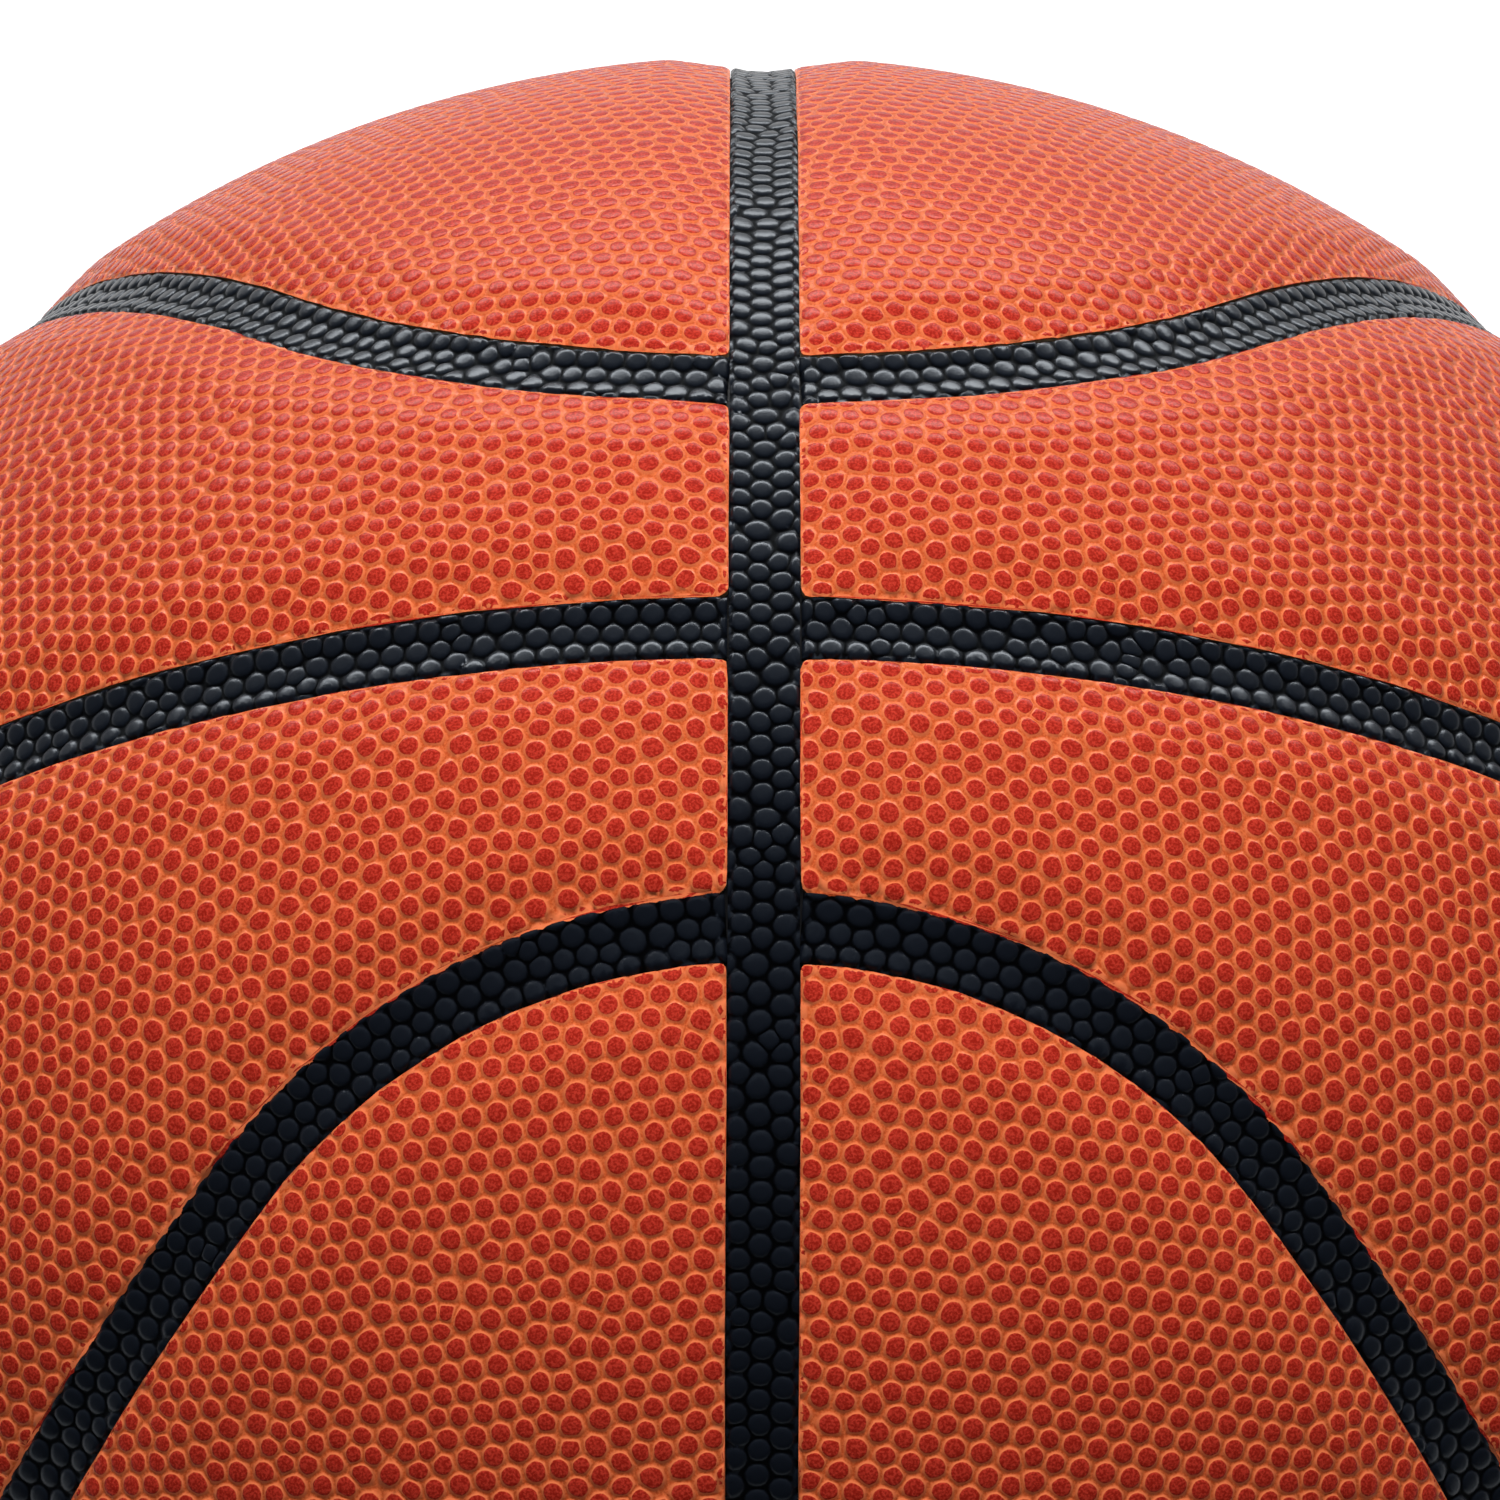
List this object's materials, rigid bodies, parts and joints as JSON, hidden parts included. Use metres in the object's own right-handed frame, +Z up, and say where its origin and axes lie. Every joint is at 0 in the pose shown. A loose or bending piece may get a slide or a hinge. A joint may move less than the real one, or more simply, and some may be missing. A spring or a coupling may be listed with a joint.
{
  "type": "basketball",
  "caption": "Basketball with a pebbled composite cover in panels, recessed black channel strips, a rubber carcass, a thread winding, a bladder and a needle valve.",
  "frame": {"origin": "centre of the ball", "axes": "+Z up; the ring channel lies in the plane x = 0, the middle channel in the plane y = 0, and the curved channels loop round the front (-Y) and the back (+Y)"},
  "size_m": [0.2412, 0.2412, 0.2404],
  "materials": {
    "cover_composite": "pebbled, matt",
    "channel_composite": "pebbled, satin",
    "carcass_rubber": "moulded, matt",
    "thread": "wound nylon thread",
    "butyl": "smooth, matt",
    "valve_rubber": "moulded, satin"
  },
  "bodies": {
    "root": {"bladder": "butyl", "winding": "thread", "carcass": "carcass_rubber", "valve_housing": "valve_rubber", "valve_plug": "valve_rubber", "ring_strip": "channel_composite", "left_middle_strip": "channel_composite", "right_middle_strip": "channel_composite", "front_left_strip": "channel_composite", "front_right_strip": "channel_composite", "back_left_strip": "channel_composite", "back_right_strip": "channel_composite", "front_left_end_panel": "cover_composite", "front_right_end_panel": "cover_composite", "back_left_end_panel": "cover_composite", "back_right_end_panel": "cover_composite", "front_left_waist_panel": "cover_composite", "front_right_waist_panel": "cover_composite", "back_left_waist_panel": "cover_composite", "back_right_waist_panel": "cover_composite"}
  },
  "joints": []
}
